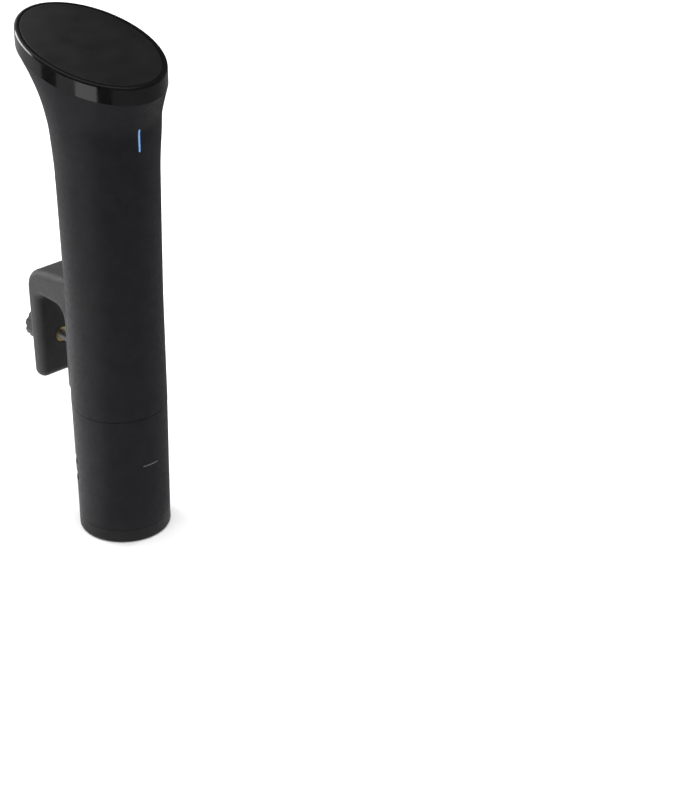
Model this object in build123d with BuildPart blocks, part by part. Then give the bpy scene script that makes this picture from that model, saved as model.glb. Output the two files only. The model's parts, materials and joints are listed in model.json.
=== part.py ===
"""Immersion circulator: a heater and a pump in a slim tube, with a flared head and a screw clamp.

Millimetres, +Z up. The origin is the centre of the flat base. The light bar faces -Y and the clamp
faces +Y.
"""

import os
from math import cos, radians, sin, tan

from build123d import *

# ---- driving dimensions -------------------------------------------------------------------------
TOTAL_HEIGHT = 325.7

HEAD_HALF_WIDTH = 37.6
HEAD_HALF_LENGTH = 54.0
HEAD_CENTRE_Y = 10.5
HEAD_TILT = 12.0
BEZEL_HEIGHT = 10.4
BEZEL_RIM = 3.2
BEZEL_ROUND = 1.5
PANEL_THICKNESS = 2.0
GASKET_THICKNESS = 0.6

WAIST_RADIUS = 29.65
WAIST_HEIGHT = 150.0
NECK_RADIUS = 31.2
NECK_HEIGHT = 245.0
WALL = 2.4

SEAM_HEIGHT = 86.0
SEAM_GAP = 0.4
SKIRT_TOP_RADIUS = 29.55
SKIRT_FOOT_RADIUS = 28.6
SKIRT_BORE = 26.85
SKIRT_FOOT = 9.2
BASE_HEIGHT = 9.0
BASE_FLOOR = 2.5
SPIGOT_RADIUS = 26.5

LIGHT_BAR_HEIGHT = 267.0
LIGHT_BAR_LENGTH = 14.0
LIGHT_BAR_WIDTH = 1.8
LEVEL_LINE_HEIGHT = 52.7
LEVEL_LINE_THICKNESS = 0.7
LEVEL_LINE_ANGLE = 22.0

BRACKET_WIDTH = 34.0
BRACKET_TOP = 163.0
BRACKET_FOOT = 84.5
JAW_FACE_Y = 32.0
JAW_FOOT = 87.0
THROAT_TOP = 142.6
BRACKET_ROOT_Y = 20.0
LEG_TOP_OUTER_Y = 69.2
LEG_FOOT_OUTER_Y = 66.6
LEG_FOOT_INNER_Y = 55.4
LEG_TOP_INNER_Y = 56.6
NUT_RADIUS = 5.0
SIDE_ROUND = 4.8
CLAMP_SCREW_HEIGHT = 111.0
CLAMP_SCREW_RADIUS = 3.0
KNOB_RADIUS = 10.5
KNOB_Y = 71.6
KNOB_LENGTH = 10.5
PAD_FACE_Y = 35.6
PAD_RADIUS = 7.0

BULKHEAD_BOTTOM = 88.0
BULKHEAD_TOP = 96.0
BULKHEAD_RADIUS = 27.0
SPIGOT_FOOT = 76.0
SPIGOT_INNER_RADIUS = 23.3
SEAL_GROOVE_RADIUS = 24.6
SEAL_GROOVE_BOTTOM = 79.7
SEAL_GROOVE_TOP = 82.3
SEAL_SECTION_RADIUS = 0.94
SHAFT_RADIUS = 2.0
MOTOR_SHAFT_RADIUS = 1.6
RUNNING_GAP = 0.05
MOTOR_PLATE_BOTTOM = 143.0
MOTOR_PLATE_THICKNESS = 3.0
MOTOR_RADIUS = 17.5
MOTOR_LENGTH = 40.0
MOTOR_WALL = 1.3
STANDOFF_CIRCLE = 20.5
STANDOFF_BORE_RADIUS = 1.6
MOTOR_SCREW_CIRCLE = 11.0
PUMP_PLATE_BOTTOM = 30.0
PUMP_PLATE_THICKNESS = 3.0
POST_REACH = 10.0
IMPELLER_RADIUS = 17.0

CORD_GLAND_HEIGHT = 222.0
CORD_BORE_RADIUS = 3.3
GLAND_RELIEF_RADIUS = 4.2
GLAND_SEAT_RADIUS = 5.6
GLAND_RIM_RADIUS = 7.6
GLAND_INNER_Y = 26.0
GLAND_FLANGE_Y = 31.0
GLAND_END_Y = 42.0

# ---- derived places -----------------------------------------------------------------------------
HEAD_TOP = TOTAL_HEIGHT - HEAD_HALF_LENGTH * sin(radians(HEAD_TILT))
HEAD_REACH = HEAD_HALF_LENGTH * cos(radians(HEAD_TILT))
BEZEL_FOOT = HEAD_TOP - BEZEL_HEIGHT
MOTOR_FRONT = MOTOR_PLATE_BOTTOM + MOTOR_PLATE_THICKNESS
MOTOR_BACK = MOTOR_FRONT + MOTOR_LENGTH

# The flare spreads the tube out to the head. Each side has the depth below the bezel where it
# starts, and the power of its curve: the back sweeps far out, the front and sides only a little.
BACK_FLARE = (45.4, 2.9)
FRONT_FLARE = (26.0, 1.15)
SIDE_FLARE = (61.8, 1.15)
TILT_FADE = 60.0
FLARE_DEPTHS = (0.0, 4.0, 9.0, 15.0, 21.0, 27.0, 35.0, 46.0, 58.0, 66.0, 69.0, 70.0)
TUBE_STEPS = 6


def save(piece, name):
    """Name a finished sub-part and write it as its own STEP file."""
    piece.part.label = name
    export_step(piece.part, f"parts/{name}.step")


def tube_radius(height):
    """Outer radius of the round tube: straight up to the waist, then widening slowly."""
    rise = max(0.0, height - WAIST_HEIGHT) / (NECK_HEIGHT - WAIST_HEIGHT)
    return WAIST_RADIUS + (NECK_RADIUS - WAIST_RADIUS) * rise**1.3


def flare(depth, reach, curve):
    """How far one side stands out of the tube at a depth below the bezel."""
    start, power = curve
    return (reach - tube_radius(BEZEL_FOOT)) * max(0.0, 1.0 - depth / start) ** power


def head_plane(depth, tilt, centre_y):
    """Plane of a cross-section, tilted about X so that the back of the head is its highest side."""
    height = BEZEL_FOOT - depth + (centre_y - HEAD_CENTRE_Y) * tan(radians(tilt))
    normal = (0.0, -sin(radians(tilt)), cos(radians(tilt)))
    return Plane(origin=(0.0, centre_y, height), x_dir=(1, 0, 0), z_dir=normal)


def neck_outline(depth, inset):
    """Elliptical cross-section of the housing at a depth below the bezel."""
    tilt = HEAD_TILT * max(0.0, 1.0 - depth / TILT_FADE)
    radius = tube_radius(BEZEL_FOOT - depth)
    back = radius + flare(depth, HEAD_REACH + HEAD_CENTRE_Y, BACK_FLARE)
    front = radius + flare(depth, HEAD_REACH - HEAD_CENTRE_Y, FRONT_FLARE)
    side = radius + flare(depth, HEAD_HALF_WIDTH, SIDE_FLARE)
    half_length = (back + front) / 2 / cos(radians(tilt))
    with BuildSketch(head_plane(depth, tilt, (back - front) / 2)) as outline:
        Ellipse(side - inset, half_length - inset)
    return outline.sketch


def housing_form(inset):
    """Solid shape of the housing, drawn in by an inset: a lofted neck on a round tube."""
    neck_foot = BEZEL_FOOT - FLARE_DEPTHS[-1]
    rise = (neck_foot - WAIST_HEIGHT) / TUBE_STEPS
    sides = [WAIST_HEIGHT + step * rise for step in range(TUBE_STEPS + 1)]
    with BuildPart() as form:
        loft([neck_outline(depth, inset) for depth in FLARE_DEPTHS])
        with BuildSketch(Plane.XZ):
            with BuildLine():
                widening = Spline(*[(tube_radius(height) - inset, height) for height in sides])
                Line((WAIST_RADIUS - inset, WAIST_HEIGHT), (WAIST_RADIUS - inset, SEAM_HEIGHT))
                Polyline((WAIST_RADIUS - inset, SEAM_HEIGHT), (0, SEAM_HEIGHT), (0, neck_foot), widening @ 1)
            make_face()
        revolve(axis=Axis.Z)
    return form.part


def head_oval(depth, inset):
    """Oval of the head, on the tilted plane at a depth below the bezel's foot."""
    with BuildSketch(head_plane(depth, HEAD_TILT, HEAD_CENTRE_Y)) as oval:
        Ellipse(HEAD_HALF_WIDTH - inset, HEAD_HALF_LENGTH - inset)
    return oval.sketch


def upper_rim(piece):
    """The higher of the two closed rims of an oval piece."""
    return piece.edges().group_by(SortBy.LENGTH)[-1].sort_by(Axis.Z)[-1]


def turned(*outline):
    """Sub-part turned about Z from a closed outline of (radius, height) points."""
    with BuildPart() as piece:
        with BuildSketch(Plane.XZ):
            with BuildLine():
                Polyline(*outline, close=True)
            make_face()
        revolve(axis=Axis.Z)
    return piece


def ring(inner, outer, bottom, top):
    """Plain turned ring or, with no inner radius, a disc or rod."""
    return turned((inner, bottom), (outer, bottom), (outer, top), (inner, top))


def turned_about_y(height, *outline):
    """Sub-part turned about a level axis along Y from a closed outline of (Y, radius) points."""
    with BuildPart() as piece:
        with BuildSketch(Plane.YZ):
            with BuildLine():
                Polyline(*[(y, height + radius) for y, radius in outline], close=True)
            make_face()
        revolve(axis=Axis((0, 0, height), (0, 1, 0)))
    return piece


def rods(places, radius, bottom, top):
    """Group of equal upright rods."""
    with BuildPart() as group:
        with BuildSketch(Plane.XY.offset(bottom)):
            with Locations(*places):
                Circle(radius)
        extrude(amount=top - bottom)
    return group


def screws(plane, places, shank, length, head, head_height):
    """Group of pan-head screws with cross recesses: heads under the plane, shanks along its normal."""
    with BuildPart() as group:
        with BuildSketch(plane):
            with Locations(*places):
                Circle(shank)
        extrude(amount=length)
        with BuildSketch(plane):
            with Locations(*places):
                Circle(head)
        extrude(amount=-head_height)
        with BuildSketch(plane.offset(-head_height)):
            with Locations(*places):
                Rectangle(head * 1.2, head * 0.28)
                Rectangle(head * 0.28, head * 1.2)
        extrude(amount=head_height * 0.5, mode=Mode.SUBTRACT)
    return group


def block(width, length, bottom, height, centre_y, edge):
    """Box-shaped component standing on a level, with rounded upright edges."""
    with BuildPart() as piece:
        with BuildSketch(Plane.XY.offset(bottom)):
            with Locations((0, centre_y)):
                RectangleRounded(width, length, edge)
        extrude(amount=height)
    return piece


def radial_plane(angle):
    """Upright plane through Z whose local X points outward at an angle from +X."""
    turn = radians(angle)
    return Plane(origin=(0, 0, 0), x_dir=(cos(turn), sin(turn), 0), z_dir=(sin(turn), -cos(turn), 0))


def facing_plane(angle):
    """Upright plane through Z that faces outward at an angle from +X, with local Y upward."""
    turn = radians(angle)
    return Plane(origin=(0, 0, 0), x_dir=(-sin(turn), cos(turn), 0), z_dir=(cos(turn), sin(turn), 0))


def back_plane(y):
    """Upright plane that faces +Y, with local Y upward."""
    return Plane(origin=(0, y, 0), x_dir=(-1, 0, 0), z_dir=(0, 1, 0))


def soften(sketch, point, radius):
    """Round the corner of a sketch that lies nearest to a point."""
    fillet(sketch.vertices().sort_by_distance(Vector(*point))[0], radius)


os.makedirs("parts", exist_ok=True)

# ---- upper housing ------------------------------------------------------------------------------
BRACKET_SCREW_HEIGHT = 152.0
BRACKET_SCREW_X = 8.0
BRACKET_SCREW_SEAT = 24.6
BRACKET_SCREW_PLACES = [(-BRACKET_SCREW_X, BRACKET_SCREW_HEIGHT), (BRACKET_SCREW_X, BRACKET_SCREW_HEIGHT)]
RAIL_X = 24.0
BOARD_Y = 8.0
BOARD_THICKNESS = 1.6
BOARD_BOTTOM = 198.0
BOARD_HEIGHT = 72.0
BOARD_WIDTH = 45.0

with BuildPart() as upper_housing:
    add(housing_form(0))
    add(housing_form(WALL), mode=Mode.SUBTRACT)
    # Two upright rails hold the control board by its edges.
    with BuildSketch(Plane.XY.offset(BOARD_BOTTOM - 2)):
        with Locations((-RAIL_X - 1, BOARD_Y), (RAIL_X + 1, BOARD_Y)):
            Rectangle(6, 5)
    extrude(amount=BOARD_HEIGHT)
    with BuildSketch(Plane.XY.offset(BOARD_BOTTOM)):
        with Locations((0, BOARD_Y)):
            Rectangle(BOARD_WIDTH + 0.4, BOARD_THICKNESS + 0.2)
    extrude(amount=BOARD_HEIGHT + 1, mode=Mode.SUBTRACT)
    # Window for the light bar in the front wall.
    with BuildSketch(Plane.XZ.offset(NECK_RADIUS - 5)):
        with Locations((0, LIGHT_BAR_HEIGHT)):
            SlotOverall(LIGHT_BAR_LENGTH, LIGHT_BAR_WIDTH, rotation=90)
    extrude(amount=12, mode=Mode.SUBTRACT)
    # Seat for the cord gland in the back wall.
    with BuildSketch(Plane.XZ.offset(-NECK_RADIUS + 8)):
        with Locations((0, CORD_GLAND_HEIGHT)):
            Circle(GLAND_SEAT_RADIUS)
    extrude(amount=-12, mode=Mode.SUBTRACT)
    # Clearance holes for the two bracket screws.
    with BuildSketch(Plane.XZ.offset(-WAIST_RADIUS + 8)):
        with Locations(*BRACKET_SCREW_PLACES):
            Circle(1.7)
    extrude(amount=-12, mode=Mode.SUBTRACT)
save(upper_housing, "upper_housing")

# ---- head: bezel, panel and what is under it ----------------------------------------------------
PANEL_RIM = BEZEL_RIM + 0.15
LEDGE_RIM = BEZEL_RIM + 3.0
PANEL_FOOT = BEZEL_HEIGHT - PANEL_THICKNESS

with BuildPart() as head_bezel:
    extrude(head_oval(0, 0), amount=BEZEL_HEIGHT, dir=(0, 0, 1))
    fillet(upper_rim(head_bezel), BEZEL_ROUND)
    extrude(head_oval(1, LEDGE_RIM), amount=BEZEL_HEIGHT + 3, dir=(0, 0, 1), mode=Mode.SUBTRACT)
    pocket = head_oval(-(PANEL_FOOT - GASKET_THICKNESS), BEZEL_RIM)
    extrude(pocket, amount=6, dir=(0, 0, 1), mode=Mode.SUBTRACT)
save(head_bezel, "head_bezel")

with BuildPart() as display_panel:
    extrude(head_oval(-PANEL_FOOT, PANEL_RIM), amount=PANEL_THICKNESS, dir=(0, 0, 1))
    fillet(upper_rim(display_panel), 0.4)
save(display_panel, "display_panel")

with BuildPart() as panel_gasket:
    gasket_foot = PANEL_FOOT - GASKET_THICKNESS
    extrude(head_oval(-gasket_foot, PANEL_RIM), amount=GASKET_THICKNESS, dir=(0, 0, 1))
    inside = head_oval(-gasket_foot, LEDGE_RIM)
    extrude(inside, amount=GASKET_THICKNESS, dir=(0, 0, 1), mode=Mode.SUBTRACT)
save(panel_gasket, "panel_gasket")

DISPLAY_BOARD_DROP = 5.0
DISPLAY_BOARD_FOOT = PANEL_FOOT - DISPLAY_BOARD_DROP
with BuildPart() as display_board:
    display_outline = head_oval(-DISPLAY_BOARD_FOOT, LEDGE_RIM + 0.6)
    extrude(display_outline, amount=BOARD_THICKNESS, dir=(0, 0, 1))
save(display_board, "display_board")

module_plane = head_plane(-(DISPLAY_BOARD_FOOT + BOARD_THICKNESS), HEAD_TILT, HEAD_CENTRE_Y)
MODULE_HEIGHT = 2.6
with BuildPart() as display_module:
    with BuildSketch(module_plane):
        with Locations((0, 16)):
            RectangleRounded(34, 18, 1.5)
    extrude(amount=MODULE_HEIGHT)
save(display_module, "display_module")

with BuildPart() as touch_pads:
    with BuildSketch(module_plane):
        with Locations((-13, -14), (0, -20), (13, -14)):
            Circle(5)
    extrude(amount=MODULE_HEIGHT)
save(touch_pads, "touch_pads")

with BuildPart() as buzzer:
    with BuildSketch(head_plane(-DISPLAY_BOARD_FOOT, HEAD_TILT, HEAD_CENTRE_Y)):
        with Locations((14, 8)):
            Circle(6)
    extrude(amount=-5)
save(buzzer, "buzzer")

# ---- light bar ----------------------------------------------------------------------------------
with BuildPart() as light_lens:
    add(housing_form(0))
    with BuildSketch(Plane.XZ.offset(NECK_RADIUS - 3)):
        with Locations((0, LIGHT_BAR_HEIGHT)):
            SlotOverall(LIGHT_BAR_LENGTH, LIGHT_BAR_WIDTH, rotation=90)
    extrude(amount=8, mode=Mode.INTERSECT)
save(light_lens, "light_lens")

with BuildPart() as light_board:
    with BuildSketch(Plane.XZ.offset(NECK_RADIUS - 5.5)):
        with Locations((0, LIGHT_BAR_HEIGHT)):
            Rectangle(8, LIGHT_BAR_LENGTH + 6)
    extrude(amount=1.2)
save(light_board, "light_board")

# ---- control board and its large components -----------------------------------------------------
with BuildPart() as control_board:
    with BuildSketch(Plane.XY.offset(BOARD_BOTTOM + 0.1)):
        with Locations((0, BOARD_Y)):
            Rectangle(BOARD_WIDTH, BOARD_THICKNESS)
    extrude(amount=BOARD_HEIGHT - 2)
save(control_board, "control_board")

BOARD_FRONT = BOARD_Y - BOARD_THICKNESS / 2
save(block(24, 18, 202, 20, BOARD_FRONT - 9, 1.5), "transformer")
save(block(16, 12, 226, 20, BOARD_FRONT - 6, 0.8), "relay")
save(block(30, 9, 262, 6, BOARD_FRONT - 4.5, 0.8), "terminal_block")

with BuildPart() as capacitors:
    with BuildSketch(Plane.XZ.offset(-BOARD_FRONT)):
        with Locations((-15, 236), (15, 236), (-6, 254), (6, 254)):
            Circle(4)
    extrude(amount=14)
save(capacitors, "capacitors")

HEAT_SINK_FINS = 5
with BuildPart() as heat_sink:
    with BuildSketch(Plane.XY.offset(204)):
        with Locations((0, BOARD_Y + BOARD_THICKNESS / 2 + 1)):
            Rectangle(28, 2)
        with Locations((0, BOARD_Y + BOARD_THICKNESS / 2 + 5)):
            with GridLocations(6.5, 1, HEAT_SINK_FINS, 1):
                Rectangle(1.4, 8)
    extrude(amount=40)
save(heat_sink, "heat_sink")

# ---- cord gland ---------------------------------------------------------------------------------
save(
    turned_about_y(
        CORD_GLAND_HEIGHT,
        (GLAND_INNER_Y, GLAND_RELIEF_RADIUS),
        (GLAND_INNER_Y, GLAND_SEAT_RADIUS - 0.1),
        (GLAND_FLANGE_Y, GLAND_SEAT_RADIUS - 0.1),
        (GLAND_FLANGE_Y, GLAND_RIM_RADIUS),
        (GLAND_FLANGE_Y + 2.2, GLAND_RIM_RADIUS - 0.4),
        (GLAND_END_Y, GLAND_SEAT_RADIUS - 0.4),
        (GLAND_END_Y, CORD_BORE_RADIUS),
        (GLAND_FLANGE_Y + 0.4, CORD_BORE_RADIUS),
        (GLAND_FLANGE_Y + 0.4, GLAND_RELIEF_RADIUS),
    ),
    "cord_gland",
)

# ---- motor --------------------------------------------------------------------------------------
CAN_INNER = MOTOR_RADIUS - MOTOR_WALL
BEARING_RADIUS = MOTOR_SHAFT_RADIUS + RUNNING_GAP
save(
    turned(
        (BEARING_RADIUS, MOTOR_FRONT),
        (MOTOR_RADIUS, MOTOR_FRONT),
        (MOTOR_RADIUS, MOTOR_BACK),
        (CAN_INNER, MOTOR_BACK),
        (CAN_INNER, MOTOR_FRONT + 2.0),
        (BEARING_RADIUS, MOTOR_FRONT + 2.0),
    ),
    "motor_can",
)
save(
    turned(
        (0, MOTOR_BACK + 4.0),
        (0, MOTOR_BACK + 1.5),
        (BEARING_RADIUS, MOTOR_BACK + 1.5),
        (BEARING_RADIUS, MOTOR_BACK - 2.0),
        (CAN_INNER, MOTOR_BACK - 2.0),
        (CAN_INNER, MOTOR_BACK),
        (MOTOR_RADIUS, MOTOR_BACK),
        (MOTOR_RADIUS, MOTOR_BACK + 1.5),
        (6.0, MOTOR_BACK + 1.5),
        (6.0, MOTOR_BACK + 4.0),
    ),
    "motor_end_cap",
)

MAGNET_INNER = 11.6
with BuildPart() as motor_magnets:
    for start in (15, 195):
        with BuildSketch(Plane.XZ.rotated((0, 0, start))):
            with Locations(((MAGNET_INNER + CAN_INNER) / 2, MOTOR_FRONT + 19)):
                Rectangle(CAN_INNER - MAGNET_INNER, 26)
        revolve(axis=Axis.Z, revolution_arc=150)
save(motor_magnets, "motor_magnets")

ROTOR_RADIUS = 10.8
ROTOR_FOOT = 127.0
save(
    turned(
        (0, ROTOR_FOOT),
        (MOTOR_SHAFT_RADIUS, ROTOR_FOOT),
        (MOTOR_SHAFT_RADIUS, MOTOR_FRONT + 7),
        (ROTOR_RADIUS, MOTOR_FRONT + 7),
        (ROTOR_RADIUS, MOTOR_FRONT + 31),
        (5.0, MOTOR_FRONT + 31),
        (5.0, MOTOR_FRONT + 36),
        (MOTOR_SHAFT_RADIUS, MOTOR_FRONT + 36),
        (MOTOR_SHAFT_RADIUS, MOTOR_BACK + 1),
        (0, MOTOR_BACK + 1),
    ),
    "motor_rotor",
)

with BuildPart() as motor_plate:
    with BuildSketch(Plane.XY.offset(MOTOR_PLATE_BOTTOM)):
        Circle(25.5)
        Circle(6, mode=Mode.SUBTRACT)
        with PolarLocations(MOTOR_SCREW_CIRCLE, 2):
            Circle(STANDOFF_BORE_RADIUS, mode=Mode.SUBTRACT)
        with PolarLocations(STANDOFF_CIRCLE, 3, start_angle=30):
            Circle(STANDOFF_BORE_RADIUS, mode=Mode.SUBTRACT)
    extrude(amount=MOTOR_PLATE_THICKNESS)
save(motor_plate, "motor_plate")

motor_screw_plane = Plane.XY.offset(MOTOR_PLATE_BOTTOM)
motor_screw_places = [(-MOTOR_SCREW_CIRCLE, 0), (MOTOR_SCREW_CIRCLE, 0)]
save(screws(motor_screw_plane, motor_screw_places, 1.5, 2.9, 2.8, 1.8), "motor_screws")

with BuildPart() as motor_standoffs:
    with BuildSketch(Plane.XY.offset(BULKHEAD_TOP)):
        with PolarLocations(STANDOFF_CIRCLE, 3, start_angle=30):
            RegularPolygon(3.6, 6)
            Circle(STANDOFF_BORE_RADIUS, mode=Mode.SUBTRACT)
    extrude(amount=MOTOR_PLATE_BOTTOM - BULKHEAD_TOP)
save(motor_standoffs, "motor_standoffs")

# ---- bulkhead between the dry and the wet side --------------------------------------------------
SEAL_BORE = 6.0
LEAD_HOLES = [(16.0, -6.0), (-16.0, -6.0)]
PROBE_PLACE = (0.0, -10.5)
LEVEL_PIN_PLACES = [(-6.5, 10.5), (6.5, 10.5)]
POST_PLACES = [(-POST_REACH, 0.0), (POST_REACH, 0.0)]
HEATER_TUBE_RADIUS = 3.0
PROBE_RADIUS = 2.0
LEVEL_PIN_RADIUS = 1.2
POST_RADIUS = 2.5
with BuildPart() as bulkhead:
    with BuildSketch(Plane.XY.offset(BULKHEAD_BOTTOM)):
        Circle(BULKHEAD_RADIUS)
    extrude(amount=BULKHEAD_TOP - BULKHEAD_BOTTOM)
    # The spigot carries the skirt and has the groove of its seal.
    with BuildSketch(Plane.XZ):
        with BuildLine():
            Polyline(
                (SPIGOT_INNER_RADIUS, BULKHEAD_BOTTOM),
                (SPIGOT_RADIUS, BULKHEAD_BOTTOM),
                (SPIGOT_RADIUS, SEAL_GROOVE_TOP),
                (SEAL_GROOVE_RADIUS, SEAL_GROOVE_TOP),
                (SEAL_GROOVE_RADIUS, SEAL_GROOVE_BOTTOM),
                (SPIGOT_RADIUS, SEAL_GROOVE_BOTTOM),
                (SPIGOT_RADIUS, SPIGOT_FOOT),
                (SPIGOT_INNER_RADIUS, SPIGOT_FOOT),
                close=True,
            )
        make_face()
    revolve(axis=Axis.Z)
    with BuildSketch(Plane.XY.offset(BULKHEAD_BOTTOM - 1)):
        Circle(SEAL_BORE)
        with Locations(*LEAD_HOLES):
            Circle(HEATER_TUBE_RADIUS)
        with Locations(PROBE_PLACE):
            Circle(PROBE_RADIUS)
        with Locations(*LEVEL_PIN_PLACES):
            Circle(LEVEL_PIN_RADIUS)
        with Locations(*POST_PLACES):
            Circle(POST_RADIUS)
        with PolarLocations(STANDOFF_CIRCLE, 3, start_angle=30):
            Circle(STANDOFF_BORE_RADIUS)
    extrude(amount=BULKHEAD_TOP - BULKHEAD_BOTTOM + 2, mode=Mode.SUBTRACT)
save(bulkhead, "bulkhead")

seal_centre_radius = SEAL_GROOVE_RADIUS + SEAL_SECTION_RADIUS
with BuildPart() as spigot_seal:
    with BuildSketch(Plane.XZ):
        with Locations((seal_centre_radius, (SEAL_GROOVE_BOTTOM + SEAL_GROOVE_TOP) / 2)):
            Circle(SEAL_SECTION_RADIUS)
    revolve(axis=Axis.Z)
save(spigot_seal, "spigot_seal")

BEARING_BORE = SHAFT_RADIUS + RUNNING_GAP
save(ring(SHAFT_RADIUS + 0.3, SEAL_BORE, BULKHEAD_BOTTOM, BULKHEAD_BOTTOM + 3.4), "shaft_seal")
save(ring(BEARING_BORE, SEAL_BORE, BULKHEAD_BOTTOM + 3.5, BULKHEAD_TOP), "upper_bushing")

standoff_places = [
    (STANDOFF_CIRCLE * cos(radians(angle)), STANDOFF_CIRCLE * sin(radians(angle)))
    for angle in (30, 150, 270)
]
bulkhead_screws = screws(Plane.XY.offset(BULKHEAD_BOTTOM), standoff_places, 1.5, 20, 2.4, 2.0)
save(bulkhead_screws, "bulkhead_screws")

# ---- wet side: heater, sensors, pump plate ------------------------------------------------------
HEATER_LEVEL = 46.0
HEATER_BACK_Y = 15.0
PROBE_FOOT = 48.0
LEVEL_PIN_FOOT = 56.0
LEAD_TOP = BULKHEAD_TOP + 6
lead_x, lead_y = LEAD_HOLES[0]
with BuildPart() as heater_tube:
    with BuildLine():
        FilletPolyline(
            (lead_x, lead_y, LEAD_TOP),
            (lead_x, lead_y, HEATER_LEVEL),
            (lead_x, HEATER_BACK_Y, HEATER_LEVEL),
            (-lead_x, HEATER_BACK_Y, HEATER_LEVEL),
            (-lead_x, lead_y, HEATER_LEVEL),
            (-lead_x, lead_y, LEAD_TOP),
            radius=[7, 11, 11, 7],
        )
    with BuildSketch(Plane(origin=(lead_x, lead_y, LEAD_TOP), z_dir=(0, 0, -1))):
        Circle(HEATER_TUBE_RADIUS)
    sweep()
save(heater_tube, "heater_tube")

with BuildPart() as temperature_probe:
    with BuildSketch(Plane.XY.offset(LEAD_TOP)):
        with Locations(PROBE_PLACE):
            Circle(PROBE_RADIUS)
    extrude(amount=PROBE_FOOT - LEAD_TOP)
    fillet(temperature_probe.edges().sort_by(Axis.Z)[0], PROBE_RADIUS * 0.9)
save(temperature_probe, "temperature_probe")

save(rods(LEVEL_PIN_PLACES, LEVEL_PIN_RADIUS, LEVEL_PIN_FOOT, LEAD_TOP), "level_pins")

PLATE_TOP = PUMP_PLATE_BOTTOM + PUMP_PLATE_THICKNESS
save(rods(POST_PLACES, POST_RADIUS, PUMP_PLATE_BOTTOM - 1.5, BULKHEAD_TOP + 2), "support_posts")

LOWER_BUSHING_RADIUS = 5.0
with BuildPart() as pump_plate:
    with BuildSketch(Plane.XY.offset(PUMP_PLATE_BOTTOM)):
        Circle(24.5)
        Circle(LOWER_BUSHING_RADIUS, mode=Mode.SUBTRACT)
        with Locations(*POST_PLACES):
            Circle(POST_RADIUS, mode=Mode.SUBTRACT)
        with PolarLocations(17.5, 8, start_angle=22.5):
            Circle(3.6, mode=Mode.SUBTRACT)
    extrude(amount=PUMP_PLATE_THICKNESS)
save(pump_plate, "pump_plate")
save(ring(BEARING_BORE, LOWER_BUSHING_RADIUS, PUMP_PLATE_BOTTOM - 2, PLATE_TOP + 2), "lower_bushing")

# ---- rotor: coupling, shaft, impeller -----------------------------------------------------------
SHAFT_FOOT = 10.0
SHAFT_TOP = 126.0
COUPLING_FOOT = 117.0
COUPLING_TOP = 136.0
COUPLING_RADIUS = 7.0
COUPLING_WAIST_RADIUS = 5.5
save(ring(0, SHAFT_RADIUS, SHAFT_FOOT, SHAFT_TOP), "drive_shaft")
save(
    turned(
        (SHAFT_RADIUS, COUPLING_FOOT),
        (COUPLING_RADIUS, COUPLING_FOOT),
        (COUPLING_RADIUS, COUPLING_FOOT + 7.0),
        (COUPLING_WAIST_RADIUS, COUPLING_FOOT + 8.0),
        (COUPLING_WAIST_RADIUS, COUPLING_TOP - 8.0),
        (COUPLING_RADIUS, COUPLING_TOP - 7.0),
        (COUPLING_RADIUS, COUPLING_TOP),
        (MOTOR_SHAFT_RADIUS, COUPLING_TOP),
        (MOTOR_SHAFT_RADIUS, ROTOR_FOOT),
        (SHAFT_RADIUS, SHAFT_TOP),
    ),
    "shaft_coupling",
)

BLADE_COUNT = 6
IMPELLER_FOOT = 14.0
SHROUD_BOTTOM = 24.0
SHROUD_THICKNESS = 1.5
HUB_RADIUS = 5.5
with BuildPart() as impeller:
    with BuildSketch(Plane.XY.offset(IMPELLER_FOOT)):
        Circle(HUB_RADIUS)
    extrude(amount=SHROUD_BOTTOM + 1 - IMPELLER_FOOT)
    with BuildSketch(Plane.XY.offset(SHROUD_BOTTOM)):
        Circle(IMPELLER_RADIUS)
    extrude(amount=SHROUD_THICKNESS)
    # Backward-swept blades hang from the shroud.
    with BuildSketch(Plane.XY.offset(IMPELLER_FOOT + 1)):
        with PolarLocations((HUB_RADIUS + IMPELLER_RADIUS) / 2, BLADE_COUNT):
            Rectangle(12.5, 1.4, rotation=20)
    extrude(amount=SHROUD_BOTTOM - IMPELLER_FOOT - 0.5)
    with BuildSketch(Plane.XY.offset(IMPELLER_FOOT - 1)):
        Circle(SHAFT_RADIUS)
    extrude(amount=14, mode=Mode.SUBTRACT)
save(impeller, "impeller")

with BuildPart() as impeller_nut:
    with BuildSketch(Plane.XY.offset(SHAFT_FOOT + 0.5)):
        RegularPolygon(3.6, 6)
        Circle(SHAFT_RADIUS, mode=Mode.SUBTRACT)
    extrude(amount=3.4)
save(impeller_nut, "impeller_nut")

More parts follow.
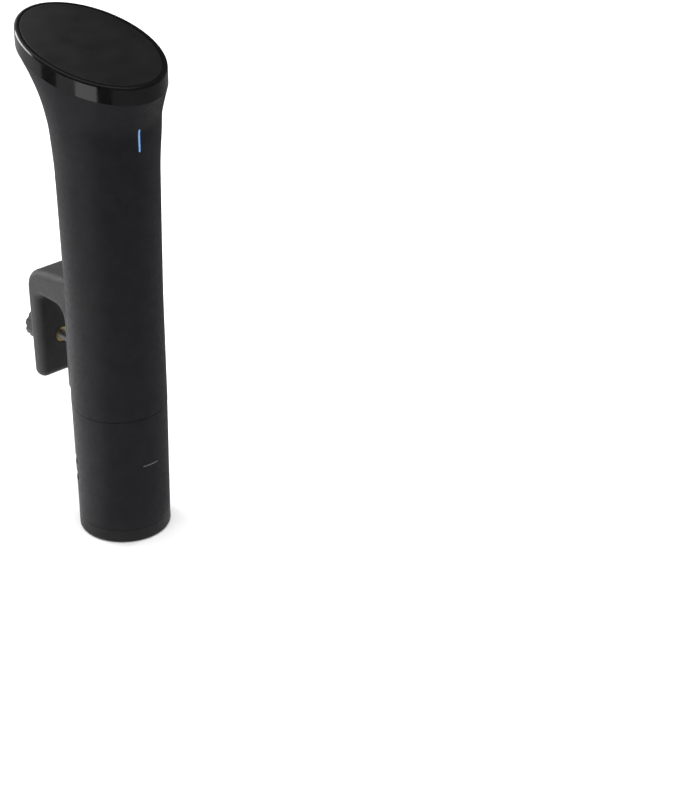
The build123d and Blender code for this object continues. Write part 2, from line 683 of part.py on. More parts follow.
# ---- skirt --------------------------------------------------------------------------------------
SKIRT_TOP = SEAM_HEIGHT - SEAM_GAP
INLET_LEVELS = (37.0, 48.5)
INLET_HEIGHT = 6.0
INLET_LENGTH = 15.0
INLET_ANGLES = (35.0, 90.0, 145.0)
LUG_GROOVE_RADIUS = 27.5
LUG_GROOVE_BOTTOM = 11.0
LUG_GROOVE_TOP = 13.6
LEVEL_LINE_DEPTH = 0.3
LEVEL_LINE_START = 270.0 - LEVEL_LINE_ANGLE / 2
SKIRT_DRAFT = (SKIRT_TOP_RADIUS - SKIRT_FOOT_RADIUS) / (SKIRT_TOP - SKIRT_FOOT)
LEVEL_LINE_OUTER = SKIRT_FOOT_RADIUS + SKIRT_DRAFT * (LEVEL_LINE_HEIGHT - SKIRT_FOOT) + 0.02
with BuildPart() as lower_skirt:
    with BuildSketch(Plane.XZ):
        with BuildLine():
            Polyline(
                (SKIRT_BORE, SKIRT_FOOT),
                (SKIRT_FOOT_RADIUS, SKIRT_FOOT),
                (SKIRT_TOP_RADIUS, SKIRT_TOP),
                (SKIRT_BORE, SKIRT_TOP),
                (SKIRT_BORE, LUG_GROOVE_TOP),
                (LUG_GROOVE_RADIUS, LUG_GROOVE_TOP),
                (LUG_GROOVE_RADIUS, LUG_GROOVE_BOTTOM),
                (SKIRT_BORE, LUG_GROOVE_BOTTOM),
                close=True,
            )
        make_face()
    revolve(axis=Axis.Z)
    # Water enters through upright pairs of oblong windows round the back.
    for angle in INLET_ANGLES:
        with BuildSketch(facing_plane(angle)):
            with Locations(*[(0, level) for level in INLET_LEVELS]):
                SlotOverall(INLET_LENGTH, INLET_HEIGHT)
        extrude(amount=40, mode=Mode.SUBTRACT)
    # Shallow recess of the level line.
    with BuildSketch(radial_plane(LEVEL_LINE_START)):
        with Locations((LEVEL_LINE_OUTER, LEVEL_LINE_HEIGHT)):
            Rectangle(2 * LEVEL_LINE_DEPTH, LEVEL_LINE_THICKNESS)
    revolve(axis=Axis.Z, revolution_arc=LEVEL_LINE_ANGLE, mode=Mode.SUBTRACT)
save(lower_skirt, "lower_skirt")

with BuildPart() as level_line:
    with BuildSketch(radial_plane(LEVEL_LINE_START)):
        with Locations((LEVEL_LINE_OUTER - LEVEL_LINE_DEPTH / 2, LEVEL_LINE_HEIGHT)):
            Rectangle(LEVEL_LINE_DEPTH, LEVEL_LINE_THICKNESS)
    revolve(axis=Axis.Z, revolution_arc=LEVEL_LINE_ANGLE)
save(level_line, "level_line")

# ---- base cap: its lugs turn in the groove of the skirt -----------------------------------------
BASE_NECK_TOP = 14.5
BASE_NECK_INNER_RADIUS = 24.6
OUTLET_COUNT = 8
BASE_ROUND = 2.0
with BuildPart() as base_cap:
    with BuildSketch(Plane.XZ):
        with BuildLine():
            Polyline(
                (0, 0),
                (SKIRT_FOOT_RADIUS, 0),
                (SKIRT_FOOT_RADIUS, BASE_HEIGHT),
                (SPIGOT_RADIUS, BASE_HEIGHT),
                (SPIGOT_RADIUS, BASE_NECK_TOP),
                (BASE_NECK_INNER_RADIUS, BASE_NECK_TOP),
                (BASE_NECK_INNER_RADIUS, BASE_FLOOR),
                (0, BASE_FLOOR),
                close=True,
            )
        make_face()
    revolve(axis=Axis.Z)
    fillet(base_cap.edges().group_by(Axis.Z)[0], BASE_ROUND)
    with BuildSketch(Plane.XY.offset(LUG_GROOVE_BOTTOM + 0.4)):
        with PolarLocations(SPIGOT_RADIUS - 0.6, 3, start_angle=60):
            RectangleRounded(2.6, 9, 0.6)
    extrude(amount=1.7)
    # Radial outlet slots in the floor.
    with BuildSketch():
        with PolarLocations(14.5, OUTLET_COUNT):
            SlotOverall(12, 3.6)
    extrude(amount=BASE_FLOOR, mode=Mode.SUBTRACT)
save(base_cap, "base_cap")

# ---- clamp bracket ------------------------------------------------------------------------------

with BuildPart() as clamp_bracket:
    with BuildSketch(Plane.YZ) as hook:
        with BuildLine():
            Polyline(
                (BRACKET_ROOT_Y, BRACKET_TOP + 2),
                (LEG_TOP_OUTER_Y, BRACKET_TOP - 5),
                (LEG_FOOT_OUTER_Y, BRACKET_FOOT),
                (LEG_FOOT_INNER_Y, BRACKET_FOOT),
                (LEG_TOP_INNER_Y, THROAT_TOP),
                (JAW_FACE_Y, THROAT_TOP),
                (JAW_FACE_Y, JAW_FOOT),
                (BRACKET_ROOT_Y, JAW_FOOT),
                close=True,
            )
        make_face()
        soften(hook, (LEG_TOP_OUTER_Y, BRACKET_TOP - 5), 14)
        soften(hook, (LEG_FOOT_OUTER_Y, BRACKET_FOOT), 5.2)
        soften(hook, (LEG_FOOT_INNER_Y, BRACKET_FOOT), 5.2)
        soften(hook, (LEG_TOP_INNER_Y, THROAT_TOP), 4)
        soften(hook, (JAW_FACE_Y, THROAT_TOP), 8)
        soften(hook, (JAW_FACE_Y, JAW_FOOT), 5.2)
    extrude(amount=BRACKET_WIDTH / 2, both=True)
    sides = clamp_bracket.faces().filter_by(Axis.X)
    fillet(sides.edges(), SIDE_ROUND)
    add(housing_form(-0.05), mode=Mode.SUBTRACT)
    with BuildSketch(Plane.XZ.offset(-LEG_FOOT_INNER_Y + 3)):
        with Locations((0, CLAMP_SCREW_HEIGHT)):
            Circle(NUT_RADIUS)
    extrude(amount=-20, mode=Mode.SUBTRACT)
    with BuildSketch(back_plane(BRACKET_SCREW_SEAT)):
        with Locations(*BRACKET_SCREW_PLACES):
            Circle(1.55)
    extrude(amount=12.5, mode=Mode.SUBTRACT)
save(clamp_bracket, "clamp_bracket")

save(screws(back_plane(BRACKET_SCREW_SEAT), BRACKET_SCREW_PLACES, 1.5, 12, 2.6, 1.9), "bracket_screws")

# ---- clamp screw, knob and pad ------------------------------------------------------------------
NUT_BORE = CLAMP_SCREW_RADIUS + RUNNING_GAP
NUT_START_Y = LEG_TOP_INNER_Y
NUT_END_Y = LEG_FOOT_OUTER_Y
save(
    turned_about_y(
        CLAMP_SCREW_HEIGHT,
        (NUT_START_Y, NUT_BORE),
        (NUT_START_Y, NUT_RADIUS),
        (NUT_END_Y, NUT_RADIUS),
        (NUT_END_Y, NUT_BORE),
    ),
    "clamp_nut",
)

SCREW_TIP_Y = PAD_FACE_Y + 4.0
KNOB_END_Y = KNOB_Y + KNOB_LENGTH
save(
    turned_about_y(
        CLAMP_SCREW_HEIGHT,
        (SCREW_TIP_Y, 0),
        (SCREW_TIP_Y, CLAMP_SCREW_RADIUS - 0.6),
        (SCREW_TIP_Y + 0.6, CLAMP_SCREW_RADIUS),
        (KNOB_END_Y - 2.5, CLAMP_SCREW_RADIUS),
        (KNOB_END_Y - 2.5, 0),
    ),
    "clamp_screw",
)

KNOB_FLUTES = 10
KNOB_CAP_RADIUS = 5.9
KNOB_CAP_DEPTH = 1.2
with BuildPart() as clamp_knob:
    with BuildSketch(back_plane(KNOB_Y)):
        with Locations((0, CLAMP_SCREW_HEIGHT)):
            Circle(KNOB_RADIUS)
            with PolarLocations(KNOB_RADIUS + 1.4, KNOB_FLUTES):
                Circle(2.2, mode=Mode.SUBTRACT)
    extrude(amount=KNOB_LENGTH)
    fillet(clamp_knob.faces().sort_by(Axis.Y)[-1].edges(), 0.9)
    with BuildSketch(back_plane(KNOB_Y - 1)):
        with Locations((0, CLAMP_SCREW_HEIGHT)):
            Circle(CLAMP_SCREW_RADIUS)
    extrude(amount=KNOB_LENGTH - 1.5, mode=Mode.SUBTRACT)
    with BuildSketch(back_plane(KNOB_END_Y)):
        with Locations((0, CLAMP_SCREW_HEIGHT)):
            Circle(KNOB_CAP_RADIUS + 0.1)
    extrude(amount=-KNOB_CAP_DEPTH, mode=Mode.SUBTRACT)
save(clamp_knob, "clamp_knob")

save(
    turned_about_y(
        CLAMP_SCREW_HEIGHT,
        (KNOB_END_Y - KNOB_CAP_DEPTH, 0),
        (KNOB_END_Y - KNOB_CAP_DEPTH, KNOB_CAP_RADIUS),
        (KNOB_END_Y - 0.4, KNOB_CAP_RADIUS),
        (KNOB_END_Y, KNOB_CAP_RADIUS - 0.5),
        (KNOB_END_Y, 0),
    ),
    "knob_cap",
)

save(
    turned_about_y(
        CLAMP_SCREW_HEIGHT,
        (PAD_FACE_Y + 2.0, 0),
        (PAD_FACE_Y + 2.0, PAD_RADIUS),
        (PAD_FACE_Y + 4.2, PAD_RADIUS),
        (PAD_FACE_Y + 6.2, CLAMP_SCREW_RADIUS + 1.6),
        (PAD_FACE_Y + 6.2, NUT_BORE),
        (SCREW_TIP_Y - 0.1, NUT_BORE),
        (SCREW_TIP_Y - 0.1, 0),
    ),
    "pressure_pad",
)
save(
    turned_about_y(
        CLAMP_SCREW_HEIGHT,
        (PAD_FACE_Y, 0),
        (PAD_FACE_Y, PAD_RADIUS - 0.6),
        (PAD_FACE_Y + 0.6, PAD_RADIUS),
        (PAD_FACE_Y + 2.0, PAD_RADIUS),
        (PAD_FACE_Y + 2.0, 0),
    ),
    "pad_face",
)
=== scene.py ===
"""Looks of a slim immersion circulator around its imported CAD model: finishes, thread, studio, camera.

Metres, +Z up. The light bar faces -Y and the clamp faces +Y.
"""

import json
from math import cos, pi, radians, sin

import bpy
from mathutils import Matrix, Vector


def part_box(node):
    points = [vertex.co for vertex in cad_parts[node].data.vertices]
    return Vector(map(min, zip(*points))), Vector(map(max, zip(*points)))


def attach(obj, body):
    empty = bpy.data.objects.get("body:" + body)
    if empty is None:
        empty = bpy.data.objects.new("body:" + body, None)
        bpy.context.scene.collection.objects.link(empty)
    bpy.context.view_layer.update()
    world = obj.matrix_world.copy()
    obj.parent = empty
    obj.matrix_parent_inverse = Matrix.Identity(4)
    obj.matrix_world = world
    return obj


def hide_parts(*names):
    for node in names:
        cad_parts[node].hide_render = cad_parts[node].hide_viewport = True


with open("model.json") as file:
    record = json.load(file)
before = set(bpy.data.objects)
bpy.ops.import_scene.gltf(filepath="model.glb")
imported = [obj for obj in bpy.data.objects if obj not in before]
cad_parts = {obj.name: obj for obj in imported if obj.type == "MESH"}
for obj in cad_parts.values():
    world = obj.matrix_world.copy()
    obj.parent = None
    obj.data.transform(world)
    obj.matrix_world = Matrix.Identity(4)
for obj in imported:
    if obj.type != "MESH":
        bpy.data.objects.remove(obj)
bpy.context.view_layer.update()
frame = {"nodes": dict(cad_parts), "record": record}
MM = 0.001

# ---- camera and studio --------------------------------------------------------------------------
# The camera's place, its heading (from +Y), its downward pitch and its lens in millimetres.
CAMERA_PLACE = (-0.7572, -1.0254, 0.7651)
CAMERA_HEADING = radians(-42.653)
CAMERA_PITCH = radians(28.185)
CAMERA_LENS = 104.62

FLOOR_SIZE = 12.0

# Brightness of the surround near the horizon and overhead, and the upward parts of a unit direction
# between which it goes from one to the other.
SKY_HORIZON = 0.9
SKY_OVERHEAD = 0.45
SKY_FADE = (0.30, 0.62)

# Soft lamps round the object: place, (width, height) and power in watts.
LAMP_TARGET = (0, 0, 0.17)
LAMPS = {
    "left_box": ((-0.45, 1.2, 0.45), (0.8, 1.2), 20),
    "right_box": ((1.2, -0.1, 0.6), (0.4, 0.8), 5),
    "top_box": ((-0.2, -0.2, 3.5), (3.0, 3.0), 118),
}

# Cards that the gloss band mirrors, under a dark hood and past a grey apron on the floor. Their two
# edges are (distance, height) pairs, and each card has its first bearing, its last bearing (degrees
# from +X) and its brightness.
CARD_DISTANCE = 0.45
CARD_TOP = 0.26
HOOD_TOP = 1.1
APRON_START = 0.04
APRON_HEIGHT = 0.001
CARD_STEPS = 8
CARD_EDGES = ((CARD_DISTANCE, 0.0), (CARD_DISTANCE, CARD_TOP))
HOOD_EDGES = ((CARD_DISTANCE, CARD_TOP), (CARD_DISTANCE, HOOD_TOP))
APRON_EDGES = ((APRON_START, APRON_HEIGHT), (CARD_DISTANCE, APRON_HEIGHT))
HOOD = (130, 415, 0.03)
APRON = (190, 400, 0.45)
CARDS = {
    "card_side": (70, 133, 0.42),
    "card_side_gap": (133, 152, 0.02),
    "card_fill": (152, 175, 0.45),
    "card_key": (175, 203, 1.6),
    "card_key_gap": (203, 226, 0.02),
    "card_front": (226, 430, 0.20),
}


def aim(thing, place, target):
    """Put a camera or lamp at a place, looking at a target."""
    thing.location = place
    thing.rotation_euler = (Vector(target) - Vector(place)).to_track_quat("-Z", "Y").to_euler()


def add_camera():
    """The fixed camera, a little above the object and in front of its left side."""
    data = bpy.data.cameras.new("camera")
    data.lens = CAMERA_LENS
    camera = bpy.data.objects.new("camera", data)
    forward = Vector(
        (
            -sin(CAMERA_HEADING) * cos(CAMERA_PITCH),
            cos(CAMERA_HEADING) * cos(CAMERA_PITCH),
            -sin(CAMERA_PITCH),
        )
    )
    aim(camera, CAMERA_PLACE, Vector(CAMERA_PLACE) + forward)
    bpy.context.scene.collection.objects.link(camera)
    bpy.context.scene.camera = camera


def add_softbox(name, place, size, power):
    """Rectangular lamp aimed at the object."""
    data = bpy.data.lights.new(name, "AREA")
    data.shape = "RECTANGLE"
    data.size, data.size_y = size
    data.energy = power
    lamp = bpy.data.objects.new(name, data)
    aim(lamp, place, LAMP_TARGET)
    bpy.context.scene.collection.objects.link(lamp)
    return lamp


def add_card(name, start, end, radiance, edges):
    """Studio card, seen only in reflections, that sweeps two (distance, height) edges round +Z."""
    mesh = bpy.data.meshes.new(name)
    points = []
    for step in range(CARD_STEPS + 1):
        turn = radians(start + (end - start) * step / CARD_STEPS)
        for distance, height in edges:
            points.append((distance * cos(turn), distance * sin(turn), height))
    faces = [(2 * step, 2 * step + 2, 2 * step + 3, 2 * step + 1) for step in range(CARD_STEPS)]
    mesh.from_pydata(points, [], faces)
    material = bpy.data.materials.new(name)
    material.use_nodes = True
    nodes = material.node_tree.nodes
    nodes.clear()
    glow = nodes.new("ShaderNodeEmission")
    glow.inputs["Color"].default_value = (radiance, radiance, radiance, 1)
    result = nodes.new("ShaderNodeOutputMaterial")
    material.node_tree.links.new(glow.outputs[0], result.inputs["Surface"])
    mesh.materials.append(material)
    card = bpy.data.objects.new(name, mesh)
    card.visible_camera = False
    card.visible_diffuse = False
    card.visible_shadow = False
    bpy.context.scene.collection.objects.link(card)


def add_sky():
    """Pale surround that darkens overhead, so that the top of the object reflects a dim ceiling."""
    world = bpy.data.worlds.new("studio")
    world.use_nodes = True
    nodes, links = world.node_tree.nodes, world.node_tree.links
    background = nodes["Background"]
    place = nodes.new("ShaderNodeTexCoord")
    split = nodes.new("ShaderNodeSeparateXYZ")
    ramp = nodes.new("ShaderNodeValToRGB")
    links.new(place.outputs["Generated"], split.inputs[0])
    links.new(split.outputs["Z"], ramp.inputs["Fac"])
    links.new(ramp.outputs["Color"], background.inputs["Color"])
    low, high = ramp.color_ramp.elements
    low.position, high.position = SKY_FADE
    low.color = (SKY_HORIZON, SKY_HORIZON, SKY_HORIZON, 1)
    high.color = (SKY_OVERHEAD, SKY_OVERHEAD, SKY_OVERHEAD, 1)
    background.inputs["Strength"].default_value = 1.0
    bpy.context.scene.world = world


def add_floor(material):
    """Plain pale floor."""
    half = FLOOR_SIZE / 2
    mesh = bpy.data.meshes.new("floor")
    corners = [(-half, -half, 0), (half, -half, 0), (half, half, 0), (-half, half, 0)]
    mesh.from_pydata(corners, [], [(0, 1, 2, 3)])
    mesh.materials.append(material)
    floor = bpy.data.objects.new("floor", mesh)
    bpy.context.scene.collection.objects.link(floor)


# ---- finishes -----------------------------------------------------------------------------------
# Most of Blender's noise lies between these two values.
NOISE_LOW = 0.3
NOISE_HIGH = 0.7

# Cosines between a face and its rounded neighbourhood, on a sharp edge and on an open face.
EDGE_COSINE = 0.9
OPEN_COSINE = 0.995


class Finish:
    """A node material being built: its shader, and noise of real sizes in object coordinates."""

    def __init__(self, name, metallic=0.0, specular=0.5):
        self.material = bpy.data.materials.new(name)
        self.material.use_nodes = True
        self.nodes = self.material.node_tree.nodes
        self.links = self.material.node_tree.links
        self.shader = self.nodes["Principled BSDF"]
        self.set("Metallic", metallic)
        self.set("Specular IOR Level", specular)
        self.place = self.nodes.new("ShaderNodeTexCoord").outputs["Object"]

    def set(self, socket, value):
        self.shader.inputs[socket].default_value = value

    def drive(self, socket, source):
        self.links.new(source, self.shader.inputs[socket])

    def noise(self, size, detail=2.0, stretch=(1, 1, 1)):
        """Noise whose grains are about a size in metres, longer along the axes that stretch names."""
        mapping = self.nodes.new("ShaderNodeMapping")
        mapping.inputs["Scale"].default_value = [1 / share for share in stretch]
        texture = self.nodes.new("ShaderNodeTexNoise")
        texture.inputs["Scale"].default_value = 1 / size
        texture.inputs["Detail"].default_value = detail
        self.links.new(self.place, mapping.inputs["Vector"])
        self.links.new(mapping.outputs[0], texture.inputs["Vector"])
        return texture.outputs["Fac"]

    def cells(self, size):
        """Distance to the nearest point of a loose cell pattern."""
        texture = self.nodes.new("ShaderNodeTexVoronoi")
        texture.inputs["Scale"].default_value = 1 / size
        self.links.new(self.place, texture.inputs["Vector"])
        return texture.outputs["Distance"]

    def span(self, source, low, high, start=NOISE_LOW, end=NOISE_HIGH):
        """A number that goes from low to high while the source goes from start to end."""
        node = self.nodes.new("ShaderNodeMapRange")
        for socket, value in (("From Min", start), ("From Max", end), ("To Min", low), ("To Max", high)):
            node.inputs[socket].default_value = value
        self.links.new(source, node.inputs["Value"])
        return node.outputs[0]

    def shades(self, source, low, high, start=NOISE_LOW, end=NOISE_HIGH):
        """A colour that goes from low to high while the source goes from start to end."""
        node = self.nodes.new("ShaderNodeValToRGB")
        stops = zip((start, end), (low, high))
        for element, (position, colour) in zip(node.color_ramp.elements, stops):
            element.position = position
            element.color = (*colour, 1)
        self.links.new(source, node.inputs["Fac"])
        return node.outputs["Color"]

    def worn_edges(self, radius):
        """About 1 along sharp edges within a radius, and 0 on open faces."""
        bevel = self.nodes.new("ShaderNodeBevel")
        bevel.samples = 4
        bevel.inputs["Radius"].default_value = radius
        geometry = self.nodes.new("ShaderNodeNewGeometry")
        dot = self.nodes.new("ShaderNodeVectorMath")
        dot.operation = "DOT_PRODUCT"
        self.links.new(bevel.outputs[0], dot.inputs[0])
        self.links.new(geometry.outputs["Normal"], dot.inputs[1])
        return self.span(dot.outputs["Value"], 1.0, 0.0, EDGE_COSINE, OPEN_COSINE)

    def total(self, first, second):
        """Two varying numbers added."""
        node = self.nodes.new("ShaderNodeMath")
        node.operation = "ADD"
        self.links.new(first, node.inputs[0])
        self.links.new(second, node.inputs[1])
        return node.outputs[0]

    def bump(self, *layers):
        """Relief from (source, depth in metres) layers, one laid over the next."""
        previous = None
        for source, depth in layers:
            node = self.nodes.new("ShaderNodeBump")
            node.inputs["Distance"].default_value = depth
            self.links.new(source, node.inputs["Height"])
            if previous is not None:
                self.links.new(previous, node.inputs["Normal"])
            previous = node.outputs[0]
        self.drive("Normal", previous)


def tint(colour, share):
    """A colour made lighter or darker."""
    return tuple(min(1.0, channel * share) for channel in colour)


def moulded(name, colour, rough=0.55, grain=0.45 * MM, relief=0.012 * MM, specular=0.5):
    """Spark-textured moulded plastic, polished a little where hands rub its edges."""
    edge_polish = 0.35
    finish = Finish(name, specular=specular)
    mottle = finish.noise(9 * MM, 3)
    finish.drive("Base Color", finish.shades(mottle, tint(colour, 0.86), tint(colour, 1.14)))
    edges = finish.worn_edges(0.5 * MM)
    broad = finish.span(finish.noise(3 * MM, 4), rough - 0.05, rough + 0.06)
    finish.drive("Roughness", finish.total(broad, finish.span(edges, 0.0, -edge_polish, 0.0, 1.0)))
    finish.bump((finish.cells(grain), relief), (finish.noise(4 * MM), relief * 0.8))
    return finish.material


def glossy(name, colour, rough):
    """Polished plastic with faint wiping marks and smudges."""
    finish = Finish(name)
    smudge = finish.noise(16 * MM, 5)
    finish.drive("Base Color", finish.shades(smudge, colour, tint(colour, 1.5), 0.35, 0.75))
    finish.drive("Roughness", finish.span(smudge, rough, rough * 2.2, 0.4, 0.75))
    lines = finish.noise(0.5 * MM, 2, stretch=(14, 1, 1))
    finish.bump((finish.noise(30 * MM), 0.05 * MM), (lines, 0.0006 * MM))
    return finish.material


def satin_glass(name, colour):
    """Hard-coated touch panel: an even satin with a fine etched grain and faint finger smudges."""
    finish = Finish(name, specular=0.35)
    smudge = finish.noise(13 * MM, 4)
    finish.drive("Base Color", finish.shades(smudge, tint(colour, 0.9), tint(colour, 1.1)))
    finish.drive("Roughness", finish.span(smudge, 0.27, 0.37))
    finish.bump((finish.noise(0.25 * MM, 2), 0.002 * MM))
    return finish.material


def rubber(name, colour):
    """Moulded rubber with a powdery skin."""
    finish = Finish(name, specular=0.3)
    finish.drive("Base Color", finish.shades(finish.noise(2 * MM, 5), colour, tint(colour, 1.7)))
    finish.drive("Roughness", finish.span(finish.noise(5 * MM, 3), 0.7, 0.92))
    finish.bump((finish.noise(0.3 * MM, 3), 0.02 * MM))
    return finish.material


def metal(name, colour, rough, lay=(1, 1, 12)):
    """Metal with fine tool marks, longest along the axes that lay names, and duller stains."""
    finish = Finish(name, metallic=1.0)
    marks = finish.noise(0.25 * MM, 3, stretch=lay)
    stains = finish.noise(7 * MM, 4)
    finish.drive("Base Color", finish.shades(stains, tint(colour, 0.82), colour))
    edges = finish.worn_edges(0.3 * MM)
    broad = finish.total(
        finish.span(stains, rough - 0.05, rough + 0.08), finish.span(marks, -0.05, 0.05)
    )
    finish.drive("Roughness", finish.total(broad, finish.span(edges, 0.0, -0.1, 0.0, 1.0)))
    finish.bump((marks, 0.003 * MM))
    return finish.material


def board(name, mask, track):
    """Printed circuit board: tracks under the solder mask, and a woven base."""
    track_spacing = 4 * MM
    track_share = 0.08
    finish = Finish(name)
    bricks = finish.nodes.new("ShaderNodeTexBrick")
    bricks.inputs["Scale"].default_value = 1 / track_spacing
    bricks.inputs["Mortar Size"].default_value = track_share
    finish.links.new(finish.place, bricks.inputs["Vector"])
    finish.drive("Base Color", finish.shades(bricks.outputs["Fac"], mask, track))
    finish.drive("Roughness", finish.span(finish.noise(2 * MM, 3), 0.28, 0.45))
    finish.bump((bricks.outputs["Fac"], 0.03 * MM), (finish.noise(0.4 * MM), 0.01 * MM))
    return finish.material


def lit_bar(name, core, rim, half_width):
    """Lit diffuser: pale along its middle, and deep blue at its edges."""
    finish = Finish(name, specular=0.3)
    split = finish.nodes.new("ShaderNodeSeparateXYZ")
    away = finish.nodes.new("ShaderNodeMath")
    away.operation = "ABSOLUTE"
    finish.links.new(finish.place, split.inputs[0])
    finish.links.new(split.outputs["X"], away.inputs[0])
    across = finish.span(away.outputs[0], 0.0, 1.0, 0.0, half_width)
    uneven = finish.total(across, finish.span(finish.noise(2.5 * MM, 2), -0.12, 0.12))
    finish.drive("Emission Color", finish.shades(uneven, core, rim, 0.1, 0.75))
    unlit_share = 0.3
    body = finish.shades(uneven, tint(core, unlit_share), tint(rim, unlit_share), 0.3, 0.95)
    finish.drive("Base Color", body)
    finish.drive("Roughness", finish.span(finish.noise(1 * MM, 2), 0.3, 0.45))
    finish.bump((finish.noise(0.4 * MM, 2), 0.004 * MM))
    finish.set("Emission Strength", 1.0)
    return finish.material


def pale_floor():
    """Seamless studio floor, with the slightest paper tooth."""
    finish = Finish("studio_floor", specular=0.1)
    tooth = finish.noise(1.5 * MM, 3)
    finish.drive("Base Color", finish.shades(tooth, (0.90, 0.90, 0.90), (0.92, 0.92, 0.92)))
    finish.drive("Roughness", finish.span(tooth, 0.85, 0.95))
    return finish.material


SHELL_COLOUR = (0.0092, 0.0093, 0.0115)


def dress_nodes():
    """Give every CAD node the finish of its material slot in the record."""
    finishes = {
        "matte_housing": moulded("housing_matt", SHELL_COLOUR, 0.52, specular=0.2),
        "skirt_plastic": moulded("skirt_matt", SHELL_COLOUR, 0.50, specular=0.2),
        "base_plastic": moulded("base_matt", (0.010, 0.010, 0.011), 0.52, specular=0.2),
        "bracket_plastic": moulded("bracket_matt", (0.024, 0.0235, 0.023), 0.6, 0.6 * MM, 0.02 * MM),
        "knob_plastic": moulded("knob_matt", (0.026, 0.026, 0.028), 0.55, 0.5 * MM, 0.02 * MM),
        "knob_cap_plastic": glossy("knob_cap_gloss", (0.008, 0.008, 0.009), 0.12),
        "gloss_bezel": glossy("bezel_gloss", (0.004, 0.004, 0.0045), 0.08),
        "satin_panel": satin_glass("panel_satin", (0.0085, 0.0085, 0.0088)),
        "light_lens": lit_bar("light_bar_lit", (0.25, 0.40, 0.52), (0.008, 0.06, 0.24), 0.9 * MM),
        "line_print": moulded("line_ink", (0.10, 0.102, 0.105), 0.5, 0.2 * MM, 0.004 * MM),
        "seal_rubber": rubber("seal_rubber_black", (0.012, 0.012, 0.012)),
        "circuit_board": board("board_green", (0.01, 0.09, 0.035), (0.02, 0.17, 0.06)),
        "dark_component": moulded("component_black", (0.02, 0.02, 0.021), 0.6),
        "relay_case": moulded("relay_blue", (0.02, 0.07, 0.25), 0.35),
        "terminal_plastic": moulded("terminal_green", (0.02, 0.18, 0.06), 0.45),
        "transformer_core": moulded("winding_tape", (0.42, 0.30, 0.06), 0.4, 1.2 * MM, 0.05 * MM),
        "capacitor_can": metal("capacitor_sleeve", (0.45, 0.46, 0.50), 0.35),
        "copper_pad": metal("copper_spring", (0.80, 0.42, 0.26), 0.3),
        "bare_aluminium": metal("aluminium_extruded", (0.72, 0.73, 0.75), 0.32),
        "motor_steel": metal("motor_zinc", (0.55, 0.56, 0.58), 0.34, lay=(8, 8, 1)),
        "rotor_steel": metal("rotor_laminations", (0.40, 0.40, 0.42), 0.4, lay=(12, 12, 1)),
        "magnet": moulded("ferrite", (0.045, 0.045, 0.048), 0.6, 0.3 * MM),
        "fastener_steel": metal("fastener_zinc", (0.62, 0.62, 0.64), 0.3, lay=(6, 6, 1)),
        "heater_steel": metal("stainless_satin", (0.60, 0.60, 0.61), 0.26),
        "brass_fitting": metal("turned_brass", (0.75, 0.55, 0.25), 0.28, lay=(6, 1, 6)),
        "bronze_bush": metal("sintered_bronze", (0.55, 0.36, 0.18), 0.45, lay=(1, 1, 1)),
        "inner_plastic": moulded("glass_filled", (0.05, 0.05, 0.053), 0.6, 0.7 * MM, 0.03 * MM),
        "coupling_plastic": moulded("acetal_ivory", (0.62, 0.60, 0.54), 0.35),
        "impeller_plastic": moulded("acetal_white", (0.66, 0.66, 0.63), 0.38),
    }
    for part in frame["record"]["subparts"]:
        for place in frame["nodes"][part["node"]].material_slots:
            place.material = finishes[part["material_slot"]]
    return finishes


# ---- clamp screw with its real thread -----------------------------------------------------------
THREAD_PITCH = 1.5 * MM
THREAD_DEPTH = 0.55 * MM
THREAD_SIDES = 48
THREAD_STEPS = 12
LEAD_IN_LENGTH = 0.8 * MM
LEAD_IN_DEPTH = 0.6 * MM

# Shares of the pitch taken by the thread's root and by each flank; its crest takes the rest.
ROOT_SHARE = 0.22
FLANK_SHARE = 0.20


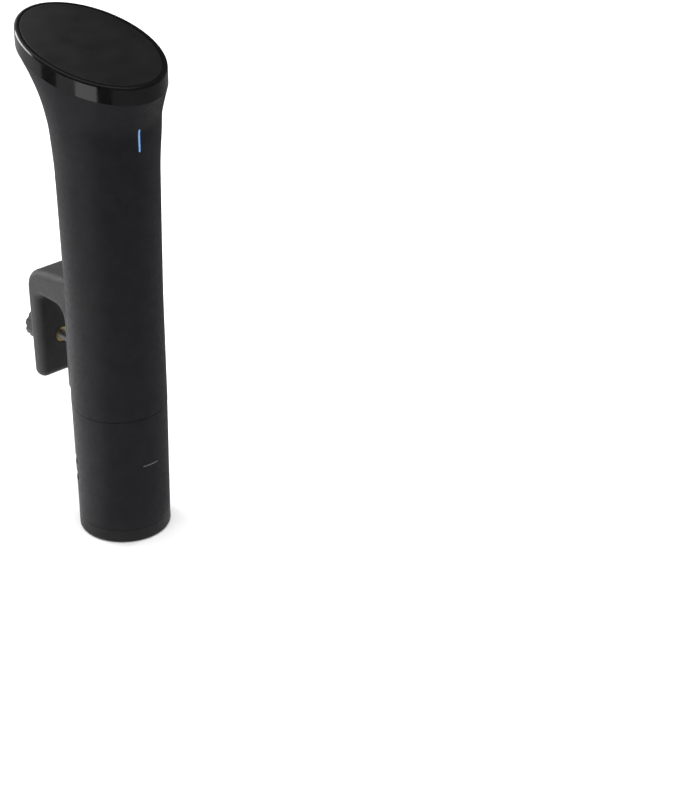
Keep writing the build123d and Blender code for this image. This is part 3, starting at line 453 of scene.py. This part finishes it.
def thread_radius(share, outer):
    """Radius of a trapezoid thread at a share of its pitch: root, flank, crest, flank."""
    root = outer - THREAD_DEPTH
    crest_start = ROOT_SHARE + FLANK_SHARE
    crest_end = 1 - FLANK_SHARE
    if share < ROOT_SHARE:
        return root
    if share < crest_start:
        return root + THREAD_DEPTH * (share - ROOT_SHARE) / FLANK_SHARE
    if share < crest_end:
        return outer
    return outer - THREAD_DEPTH * (share - crest_end) / FLANK_SHARE


def add_clamp_screw(material):
    """The clamp screw, with its right-hand thread cut along the rod and a pointed lead-in."""
    low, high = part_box("clamp_screw")
    centre_z = (low.z + high.z) / 2
    outer = (high.x - low.x) / 2
    step = THREAD_PITCH / THREAD_STEPS
    rows = int((high.y - low.y) / step) + 1
    points, faces = [], []
    for row in range(rows):
        y = min(low.y + row * step, high.y)
        lead_in = min(1.0, (y - low.y) / LEAD_IN_LENGTH)
        for side in range(THREAD_SIDES):
            turn = 2 * pi * side / THREAD_SIDES
            share = ((y - low.y) / THREAD_PITCH + side / THREAD_SIDES) % 1.0
            radius = min(thread_radius(share, outer), outer - LEAD_IN_DEPTH * (1 - lead_in))
            points.append((radius * cos(turn), y, centre_z + radius * sin(turn)))
    for row in range(rows - 1):
        for side in range(THREAD_SIDES):
            after = (side + 1) % THREAD_SIDES
            near, far = row * THREAD_SIDES, (row + 1) * THREAD_SIDES
            faces.append((near + side, far + side, far + after, near + after))
    faces.append(tuple(range(THREAD_SIDES)))
    faces.append(tuple(range(rows * THREAD_SIDES - 1, (rows - 1) * THREAD_SIDES - 1, -1)))
    mesh = bpy.data.meshes.new("clamp_screw_thread")
    mesh.from_pydata(points, [], faces)
    mesh.materials.append(material)
    mesh.update()
    screw = bpy.data.objects.new("clamp_screw_thread", mesh)
    bpy.context.scene.collection.objects.link(screw)
    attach(screw, "screw")
    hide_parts("clamp_screw")


# ---- making it all ------------------------------------------------------------------------------
add_camera()
add_sky()
add_floor(pale_floor())
finishes = dress_nodes()
add_clamp_screw(finishes["fastener_steel"])

for name, (start, end, radiance) in CARDS.items():
    add_card(name, start, end, radiance, CARD_EDGES)
add_card("card_hood", *HOOD, HOOD_EDGES)
add_card("card_apron", *APRON, APRON_EDGES)

lamps = {name: add_softbox(name, *settings) for name, settings in LAMPS.items()}
lamps["top_box"].visible_glossy = False

bpy.context.scene.view_settings.view_transform = "Standard"
